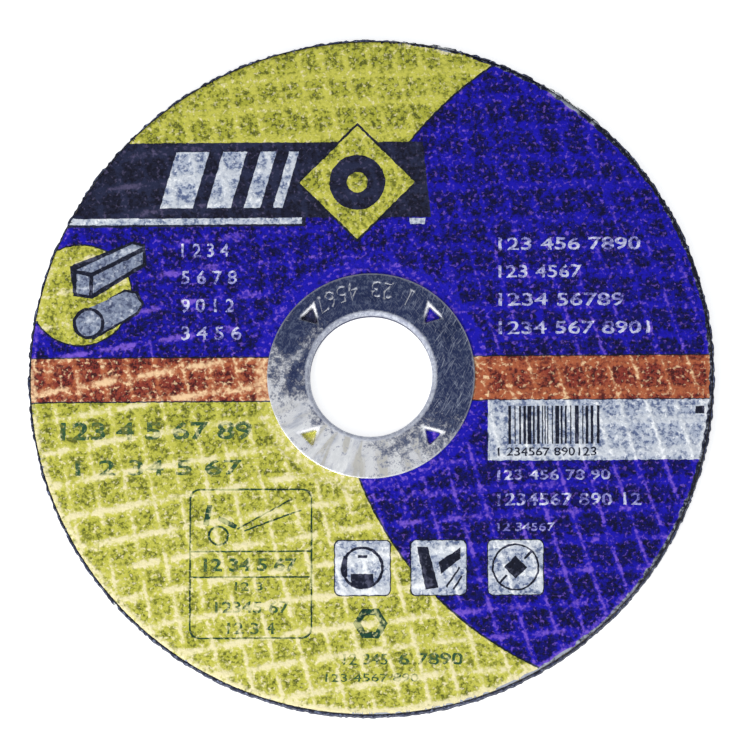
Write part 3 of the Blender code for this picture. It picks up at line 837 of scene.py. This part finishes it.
def label_net(x, y):
    """Relief of the label above the net: broad bands over the strands, and the ridges on them."""
    warp_off, weft_off, warp_rise, weft_rise = strands(x, y)
    wander = noise(x, y, 2.2, 12)
    warp_band = 1 - step(np.abs(warp_off) + 0.25 * wander, 0.15, 0.95)
    weft_band = 1 - step(np.abs(weft_off) + 0.35 * wander, 0.35, 1.35)
    band = union(0.9 * warp_band, 0.85 * weft_band)
    warp_share = np.clip(0.58 + 0.003 * x - 0.012 * y, 0.15, 1.0)
    weft_share = np.clip(0.45 - 0.0075 * x - 0.008 * y, 0.08, 1.0)
    warp_share = warp_share * (0.78 + 0.4 * warp_rise + 0.5 * noise(x, y, 2.8, 13))
    uneven = 0.5 * noise(x, y, 3.3, 19) + 0.55 * noise(x, y, 1.5, 30)
    weft_share = weft_share * (0.74 + 0.4 * weft_rise + uneven)
    warp_ridge = np.exp(-(warp_off / 0.3) ** 2) * np.clip(warp_share, 0, 0.9)
    weft_ridge = np.exp(-(weft_off / 0.62) ** 2) * np.clip(weft_share, 0, 1)
    return np.clip(band, 0.0, 1.0), np.clip(union(warp_ridge, weft_ridge), 0.0, 1.0)


def label_height(x, y):
    """Height of the label's printed side."""
    radius = np.hypot(x, y)
    grit = 0.5 * noise(x, y, 0.9, 14) + 0.35 * noise(x, y, 1.7, 15)
    band, ridge = label_net(x, y)
    rise = LABEL_FLOOR + 0.015 + (CREST - LABEL_FLOOR - 0.02) * (0.6 * band + 0.4 * ridge) + 0.02 * grit
    fade = step(radius, LABEL_EDGE - 1.3, LABEL_EDGE - 0.1)
    level = rise * (1 - fade) + (LABEL_FLOOR + 0.02) * fade
    share = step(radius, LAND_RADIUS - 0.5, LAND_RADIUS + 0.7)
    level = LABEL_LAND * (1 - share) + level * share
    level = level + 0.006 * noise(x, y, 2.0, 16) * (1 - share)
    return np.clip(np.where(radius < DISH_REACH, np.interp(prong_side(x, y), *LABEL_DISH), level), 0, CREST)


def flat_with_dishes(level, dish):
    """Height function of a flat face with a dish under each prong."""
    def height(x, y):
        return np.where(np.hypot(x, y) < DISH_REACH, np.interp(prong_side(x, y), *dish), level)
    return height


def make_label():
    """The printed sheet: finely embossed on top, plain below."""
    count = 1100
    radius = LABEL_EDGE - 0.05 + 0.05 * noise(np.arange(count) / 2.0, np.zeros(count), 1.0, 17, count // 2)
    edge = circle(radius, count)
    hole = circle(SHEET_HOLE, HOLE_POINTS)
    print_label()
    limit = LABEL_EDGE - 0.25
    creases = []
    for _, segments in PRINTS:
        within = (np.hypot(segments[..., 0], segments[..., 1]) < limit).all(1)
        creases.append(segments[within])
    top = surface(edge, [hole], creases + dish_creases(LABEL_DISH), 0.43, label_height)
    under = flat_with_dishes(LABEL_BOTTOM, LABEL_UNDERDISH)
    below = surface(edge, [hole], dish_creases(LABEL_UNDERDISH), None, under)
    walls = skirts((edge, hole), label_height, LABEL_BOTTOM)
    piece = make_piece(
        "printed_label", [top, below, *walls], label_material(), "front_label")
    mark_label(piece.data)
    ink_label(piece.data)


def mark_label(mesh):
    """Where strands lift the label, where its print is worn, and where it is paler towards the bottom and the
    lower left, for its material.
    """
    x, y, _ = corner_places(mesh).T
    radius = np.hypot(x, y)
    band, ridge = label_net(x, y)
    low_left = step(-0.5 * x - 0.8 * y, -20, 45)
    rim = step(radius, LABEL_EDGE - 1.5, LABEL_EDGE - 0.5)
    land = 1 - step(radius, LAND_RADIUS - 0.4, LAND_RADIUS + 0.6)
    smooth = np.maximum(rim, land)
    in_disc = np.hypot(x - BLUE_CENTRE[0], y - BLUE_CENTRE[1]) < BLUE_RADIUS
    on_blue = in_disc | ((y > BLUE_STRIP[0]) & (y < BLUE_STRIP[1]))
    calm = np.clip(0.32 + 0.005 * y - 0.005 * x, 0.0, 0.6) * on_blue
    band = (0.95 - 0.1 * on_blue) * (band * (1 - calm) + 0.45 * calm)
    shallow = 0.3 * step(-y, 0, 25) * ~on_blue
    band = band * (1 - shallow) + shallow
    set_points(mesh, "band", band * (1 - smooth) + (0.3 + 0.65 * np.maximum(on_blue, land)) * smooth)
    low_right = step(0.7 * x - 0.7 * y, 15, 50)
    on_stripe = (np.abs(y + 0.5) < 4) & (x < 0)
    pale_share = rim * (0.1 + 0.5 * low_left + 0.3 * low_right)
    pale_share = pale_share + 0.18 * step(-y, 0, 24) * ~on_blue + 0.17 * on_stripe
    pale_share = pale_share + land * (0.42 - 0.16 * on_blue + (0.1 + 0.15 * on_blue) * noise(x, y, 3.0, 18))
    pale_share = pale_share + rubbed(x, y) * step(radius, LABEL_EDGE - 1.2, LABEL_EDGE - 0.6)
    set_points(mesh, "ridge", np.clip(ridge * (1 - smooth) + pale_share, 0, 1))


def ink_label(mesh):
    """The inks of each face, from the last printed shape that holds its centre."""
    corners = whole_numbers(mesh.loops, "vertex_index")
    starts = whole_numbers(mesh.polygons, "loop_start")
    counts = whole_numbers(mesh.polygons, "loop_total")
    centres = np.add.reduceat(corner_places(mesh)[corners, :2], starts, axis=0) / counts[:, None]
    names = list(INKS)
    ink = np.zeros(len(centres), int)
    for name, segments in PRINTS:
        ink[inside(centres, segments)] = names.index(name)
    for kind, attribute_name in enumerate(INK_KINDS):
        palette = np.array([tone(*INKS[name][kind]) for name in names], np.float32)
        colours = np.repeat(palette[ink], counts, axis=0)
        layer = mesh.color_attributes.new(attribute_name, "FLOAT_COLOR", "CORNER")
        layer.data.foreach_set("color", colours.ravel())


# Abrasive body


def make_body():
    """The abrasive layer with a rough rim, a chip and pockets for the prongs."""
    count = 1300
    turn = np.arange(count) * math.tau / count
    arc = turn * RADIUS
    around = 780
    length = math.tau * RADIUS / around

    def row(radius, z, depth, lift=0.0):
        grain_in = 0.5 + 0.5 * noise(arc, np.full(count, z * 1.3 + radius), length, 20, around)
        coarse = 0.5 + 0.5 * noise(arc, np.full(count, z * 2.9), 2 * length, 21, around // 2)
        along = 0.7 * noise(arc, np.zeros(count), length, 29, around)
        along = along + 0.6 * noise(arc, np.zeros(count), 3 * length, 31, around // 3)
        along = step(along, -0.65, 0.65) * (0.4 + 0.25 * z / LABEL_FLOOR)
        radii = radius - depth * (0.2 * grain_in + 0.15 * coarse + along) * (1 - 0.75 * by_chip(turn, 1.9))
        off = from_chip_angle(turn)
        chord = CHIP_RADIUS ** 2 - (CHIP_REACH * np.sin(off)) ** 2
        cut = CHIP_REACH * np.cos(off) - np.sqrt(np.maximum(chord, 0.0))
        cut = cut + 0.05 * noise(arc, arc * 0 + z, 0.3, 22)
        radii = np.where((chord > 0) & (off < 0.1), np.maximum(np.minimum(radii, cut), LIP_INSIDE), radii)
        height = z + lift * (0.5 + 0.5 * noise(arc, np.full(count, radius * 5.0), length, 23, around))
        return at_height(circle(radii, count), height)

    lip = LABEL_FLOOR
    wide = RADIUS - LIP_INSIDE
    deep = wide - 0.01
    shares = (0.25, 0.5, 0.75)
    rows = [row(LIP_INSIDE, BODY_TOP, 0.0), row(LIP_INSIDE, lip - 0.06, 0.0)]
    rows += [row(LIP_INSIDE + share * wide, lip, share * deep, -0.09) for share in shares]
    rows += [row(RADIUS, z, deep) for z in np.linspace(lip - 0.08, 0.08, 9)]
    rows += [row(LIP_INSIDE + share * wide, 0.0, share * deep, 0.09) for share in reversed(shares)]
    rows += [row(LIP_INSIDE, 0.05, 0.0), row(LIP_INSIDE, BODY_BOTTOM, 0.0)]
    inner = circle(LIP_INSIDE, count)
    top_hole = circle(SHEET_HOLE, HOLE_POINTS)
    low_hole = circle(BODY_HOLE, HOLE_POINTS)
    top = surface(inner, [top_hole], dish_creases(BODY_DISH), None, flat_with_dishes(BODY_TOP, BODY_DISH))
    below = surface(inner, [low_hole], [], None, flat(BODY_BOTTOM))
    bore = [at_height(top_hole, BODY_TOP)]
    bore += bend(SHEET_HOLE, BODY_TOP, -INNER_BEND, (0.35, 0.7, 1.0), HOLE_POINTS)
    bore.append(at_height(low_hole, BODY_BOTTOM))
    piece = make_piece(
        "bonded_abrasive", [loft(rows), top, below, loft(bore)], grit_material(),
        "abrasive_body")
    x, y, z = corner_places(piece.data).T
    from_chip = np.hypot(x - CHIP_REACH * math.cos(CHIP_ANGLE), y - CHIP_REACH * math.sin(CHIP_ANGLE))
    broken = from_chip < CHIP_RADIUS + 0.12
    set_points(piece.data, "rubbed", np.maximum(rubbed(x, y) * (z > 0.6 * CREST), broken))


# Rear net


def rear_relief(x, y):
    """How far the rear net's strands stand up, from 0 to 1, and whether the warp is the upper one."""
    warp_off, weft_off, warp_rise, weft_rise = strands(-x, y)
    over = np.exp(-(warp_off / 0.95) ** 2) * (0.82 + 0.18 * warp_rise)
    under = np.exp(-(weft_off / 1.05) ** 2) * (0.82 + 0.18 * weft_rise)
    return np.clip(np.maximum(over, under) + 0.2 * np.minimum(over, under), 0.0, 1.0), over > under


def rear_height(x, y):
    """Height of the rear face, which is 0 on the strands and on the seat round the bore."""
    relief, _ = rear_relief(x, y)
    grit = 0.5 + 0.3 * noise(x, y, 0.8, 24) + 0.2 * noise(x, y, 1.6, 25)
    level = 0.3 * (1 - relief) * (0.75 + 0.25 * grit) + 0.03 * grit
    radius = np.hypot(x, y)
    share = step(radius, LAND_RADIUS - 0.2, LAND_RADIUS + 1.0)
    edge = step(radius, NET_EDGE - 0.8, NET_EDGE - 0.1)
    return level * share * (1 - 0.7 * edge)


def make_rear_net():
    """The woven net that shows on the rear face."""
    edge = circle(NET_EDGE, 900)
    hole = circle(BODY_HOLE, HOLE_POINTS)
    face = surface(edge, [hole], [], 0.46, rear_height)
    back = surface(edge, [hole], [], None, flat(REAR_TOP))
    walls = skirts((edge, hole), rear_height, REAR_TOP)
    piece = make_piece(
        "rear_glass_weave", [face, back, *walls], weave_material(), "rear_glass_net")
    places = corner_places(piece.data)
    x, y = places[:, 0], places[:, 1]
    relief, warp_up = rear_relief(x, y)
    share = step(np.hypot(x, y), LAND_RADIUS - 0.2, LAND_RADIUS + 1.0)
    set_points(piece.data, "relief", relief * share)
    warp, weft = net(-x, y)
    set_points(piece.data, "net", np.column_stack([warp * WARP_PITCH, weft * WEFT_PITCH, warp_up]))


# Steel ring


def ring_digits():
    """Outlines of the stamped digits on the flange, their tops towards the bore."""
    shapes = []
    for index, character in enumerate("1 23 4567"):
        if character != " ":
            angle = math.radians(64 + index * 7.6)
            radius = 17.3
            width = 0.5 if character == "1" else 1.5
            shapes.append(digit_shape(
                character, radius * math.cos(angle), radius * math.sin(angle), 2.9, width, -0.02,
                angle + math.pi / 2))
    return np.concatenate(shapes)


def flange_height(digits):
    """Height function of the flange: a little wavy, digits sunk in, and drawn down by the prongs."""
    def flange(x, y):
        sink = np.zeros(len(x))
        places = np.column_stack([x, y])
        for dx, dy in ((0.05, 0), (-0.05, 0), (0, 0.05), (0, -0.05)):
            sink += inside(places + (dx, dy), digits) / 4
        radius = np.hypot(x, y)
        near = np.clip(1 - (prong_side(x, y) - PRONG_TOP[0]) / 0.9, 0, 1)
        middle = step(radius, 12.1, 12.9) * step(RING_EDGE - radius, 0.1, 0.7)
        waves = 0.012 * (0.5 + 0.5 * noise(x, y, 3.2, 26)) * middle
        return FLANGE_TOP - waves - 0.07 * sink - 0.05 * near ** 2
    return flange


def ring_prongs(flange, tops, roots):
    """Rolled and torn edges of the four prongs, between both faces of the flange."""
    rolled = ((1.13, 0.32, 0.075), (1.05, 0.3, 0.14), (0.99, 0.28, 0.24), (0.95, 0.25, 0.36))
    prongs = []
    for quarter in range(4):
        rows = [at_height(tops[quarter], flange(*tops[quarter].T))]
        for side, corner, drop in rolled:
            rows.append(at_height(prong_loop(quarter, side, corner), FLANGE_TOP - drop))
        foot = prong_loop(quarter, PRONG_FOOT_SIDE + 0.02, 0.16)
        tear = 0.05 * (0.5 + 0.5 * noise(foot[:, 0], foot[:, 1], 0.35, 27))
        rows.append(at_height(foot, PRONG_FOOT + tear))
        rows.append(at_height(prong_loop(quarter, PRONG_FOOT_SIDE + 0.11, 0.2), PRONG_FOOT + tear * 0.5))
        rows.append(at_height(prong_loop(quarter, 0.9, 0.22), PRONG_FOOT + 0.12))
        rows.append(at_height(roots[quarter], FLANGE_BOTTOM))
        prongs.append(loft(rows))
    return prongs


def make_ring():
    """The pressed ring: stamped flange, bend, collar and four pierced prongs with rolled edges."""
    count = 144
    digits = ring_digits()
    flange = flange_height(digits)

    def turned(radius, z):
        return at_height(circle(radius, count), z)

    edge_round = 0.14
    outer = circle(RING_EDGE - edge_round, count)
    inner = circle(BORE + BEND, count)
    prong_tops = [prong_loop(quarter, *PRONG_TOP) for quarter in range(4)]
    prong_roots = [prong_loop(quarter, *PRONG_ROOT) for quarter in range(4)]
    ends = digits.reshape(-1, 2)
    low, high = ends.min(0), ends.max(0)
    spacing = 0.11
    xs, ys = np.meshgrid(np.arange(low[0], high[0], spacing), np.arange(low[1], high[1], spacing))
    dense = np.column_stack([xs.ravel(), ys.ravel()])
    dense = dense[inside(dense, digits)]
    top = surface(outer, [inner, *prong_tops], [digits], 0.24, flange, dense)
    below = surface(circle(RING_EDGE, count), [inner, *prong_roots], [], None, flat(FLANGE_BOTTOM))
    rim = [at_height(outer, flange(*outer.T))]
    rim += bend(RING_EDGE - edge_round, FLANGE_TOP, edge_round, (1 / 3, 2 / 3, 1.0), count)
    rim += [turned(RING_EDGE, FLANGE_TOP - 0.25), turned(RING_EDGE, FLANGE_BOTTOM)]
    collar = bend(BORE + BEND, FLANGE_TOP, -BEND, np.linspace(0, 1, 8), count)
    collar[0][:, 2] = flange(*inner.T)
    collar += [turned(BORE, z) for z in (1.3, 0.8, COLLAR_FOOT + 0.05)]
    collar += [turned(BORE + 0.06, COLLAR_FOOT), turned(COLLAR - 0.06, COLLAR_FOOT)]
    collar.append(turned(COLLAR, COLLAR_FOOT + 0.05))
    collar += bend(BORE + BEND, FLANGE_BOTTOM, -INNER_BEND, np.linspace(1, 0, 6), count)
    prongs = ring_prongs(flange, prong_tops, prong_roots)
    piece = make_piece(
        "pressed_arbor_ring", [top, below, loft(rim), loft(collar), *prongs], steel_material(),
        "arbor_ring")
    mark_ring(piece.data, digits)


def mark_ring(mesh, digits):
    """Where the steel is worn to the metal and carries painted highlights, where the bend into the bore gets
    a painted sheen, and where the bore gets painted shade low down, for its material.
    """
    places = corner_places(mesh)
    x, y, z = places.T
    radius = np.hypot(x, y)
    # Bend into the bore, which gets a pale painted sheen
    lip = 1 - step(radius, BORE + BEND - 0.05, BORE + BEND + 0.12)
    lip *= step(z, COLLAR_FOOT + 0.1, COLLAR_FOOT + 0.4)
    # Prong walls: painted highlight on their upper sides, faint on the lower sides, where the steel is worn
    # to the metal
    from_middle = y - np.sign(y) * PRONG_CIRCLE * math.sin(math.radians(45))
    upper = step(from_middle, -0.5, 0.5)
    worn_wall_and_highlight = 1 - step(prong_side(x, y) - 0.22 * upper, 1.1, 1.22)
    worn_wall_and_highlight *= (radius > 12.5) * step(z, PRONG_FOOT - 0.1, PRONG_FOOT + 0.2) * (0.2 + 0.8 * upper)
    # Outer edge of the rim: pale, as worn steel and as painted highlight
    edge = step(radius, RING_EDGE - 0.3, RING_EDGE - 0.1)
    # Painted highlight along one side of each stamped digit's edge
    near_digit = inside(places[:, :2], digits) | inside(places[:, :2] + (-0.05, -0.05), digits)
    marks = near_digit & ~inside(places[:, :2] + (-0.12, 0.12), digits) & (z > FLANGE_BOTTOM + 0.1)
    pale_share = np.maximum.reduce([worn_wall_and_highlight, 0.3 * edge, 0.58 * marks])
    set_points(mesh, "pale_share", pale_share)
    set_points(mesh, "lip", 0.9 * lip)
    # Painted shade on the lower part of the bore's wall
    set_points(mesh, "foot", (1 - step(z, 1.6, 2.1)) * (radius < BORE + 0.3))


def dress_front_net():
    """The net under the label keeps its CAD shape and gets a plain glass material."""
    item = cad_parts["front_glass_net"]
    material, tree, shader, place = new_material("hidden_glass_net", roughness=0.7)
    fine = grain(tree, place, 0.6, 3.0)
    colour = mix(tree, ramp(tree, fine, 0.3, 0.7), tone(70, 64, 56), tone(120, 112, 96))
    finish_shader(tree, shader, colour, None, fine, 0.1, 0.6)
    for slot in item.material_slots:
        slot.material = material


# Stage


def make_floor():
    """Plain pale floor: white to the camera, with the wheel's shadow kept."""
    mesh = bpy.data.meshes.new("floor")
    size = 6.0
    corners = [(-size, -size, 0), (size, -size, 0), (size, size, 0), (-size, size, 0)]
    mesh.from_pydata(corners, [], [(0, 1, 2, 3)])
    floor = new_object("floor", mesh)
    material = bpy.data.materials.new("floor_white")
    material.use_nodes = True
    tree = material.node_tree
    tree.nodes.clear()
    path = add(tree, "LightPath").outputs
    seen = plus(tree, plus(tree, path["Is Camera Ray"], path["Is Glossy Ray"]), path["Is Transmission Ray"])
    seen = add(tree, "Math", {0: seen, 1: 1.0}, operation="MINIMUM").outputs[0]
    plain = add(tree, "BsdfDiffuse", {"Color": (0.75, 0.75, 0.75, 1)}).outputs[0]
    glow = add(tree, "Emission", {"Strength": times(tree, seen, 0.66)}).outputs[0]
    both = add(tree, "AddShader", {0: plain, 1: glow}).outputs[0]
    add(tree, "OutputMaterial", {"Surface": both})
    mesh.materials.append(material)


def make_lamp(name, place, size, power, colour):
    """A soft square lamp that faces the wheel."""
    data = bpy.data.lights.new(name, "AREA")
    data.size = size
    data.energy = power
    data.color = colour
    lamp = new_object(name, data)
    lamp.location = place
    lamp.rotation_mode = "QUATERNION"
    lamp.rotation_quaternion = Vector(place).to_track_quat("Z", "Y")


def make_world():
    """Pale light from all round, strongest from overhead and a little to the lower left of the label."""
    world = bpy.data.worlds.new("studio")
    world.use_nodes = True
    tree = world.node_tree
    background = tree.nodes["Background"]
    background.inputs["Color"].default_value = (0.93, 0.96, 1.0, 1)
    heading = add(tree, "TexCoord").outputs["Generated"]
    brightest = (-0.3, -0.55, 0.78)
    side = add(tree, "VectorMath", {0: heading, 1: brightest}, operation="DOT_PRODUCT").outputs["Value"]
    tree.links.new(ramp(tree, side, -1.0, 1.0, 0.1, 0.72), background.inputs["Strength"])
    bpy.context.scene.world = world


def make_camera():
    """A long lens, almost straight above the label, from a little below its middle."""
    azimuth = math.radians(12)
    elevation = math.radians(80)
    level = math.cos(elevation)
    back = Vector((math.sin(azimuth) * level, -math.cos(azimuth) * level, math.sin(elevation)))
    right = Vector((0, 1, 0)).cross(back).normalized()
    up = back.cross(right)
    data = bpy.data.cameras.new("camera")
    data.lens = 400
    camera = new_object("camera", data)
    target = Vector((0.0007, 0.0003, 0.0015))
    distance = 1.513
    place = target + back * distance
    camera.matrix_world = Matrix.Translation(place) @ Matrix((right, up, back)).transposed().to_4x4()
    bpy.context.scene.camera = camera


make_label()
make_body()
make_rear_net()
make_ring()
dress_front_net()
make_floor()
make_world()
make_lamp("key", (-0.34, -0.44, 0.42), 0.24, 3.6, (1.0, 0.99, 0.96))
make_lamp("fill", (0.6, 0.5, 0.9), 0.8, 0.6, (0.94, 0.97, 1.0))
make_camera()

bpy.context.scene.view_settings.view_transform = "Standard"
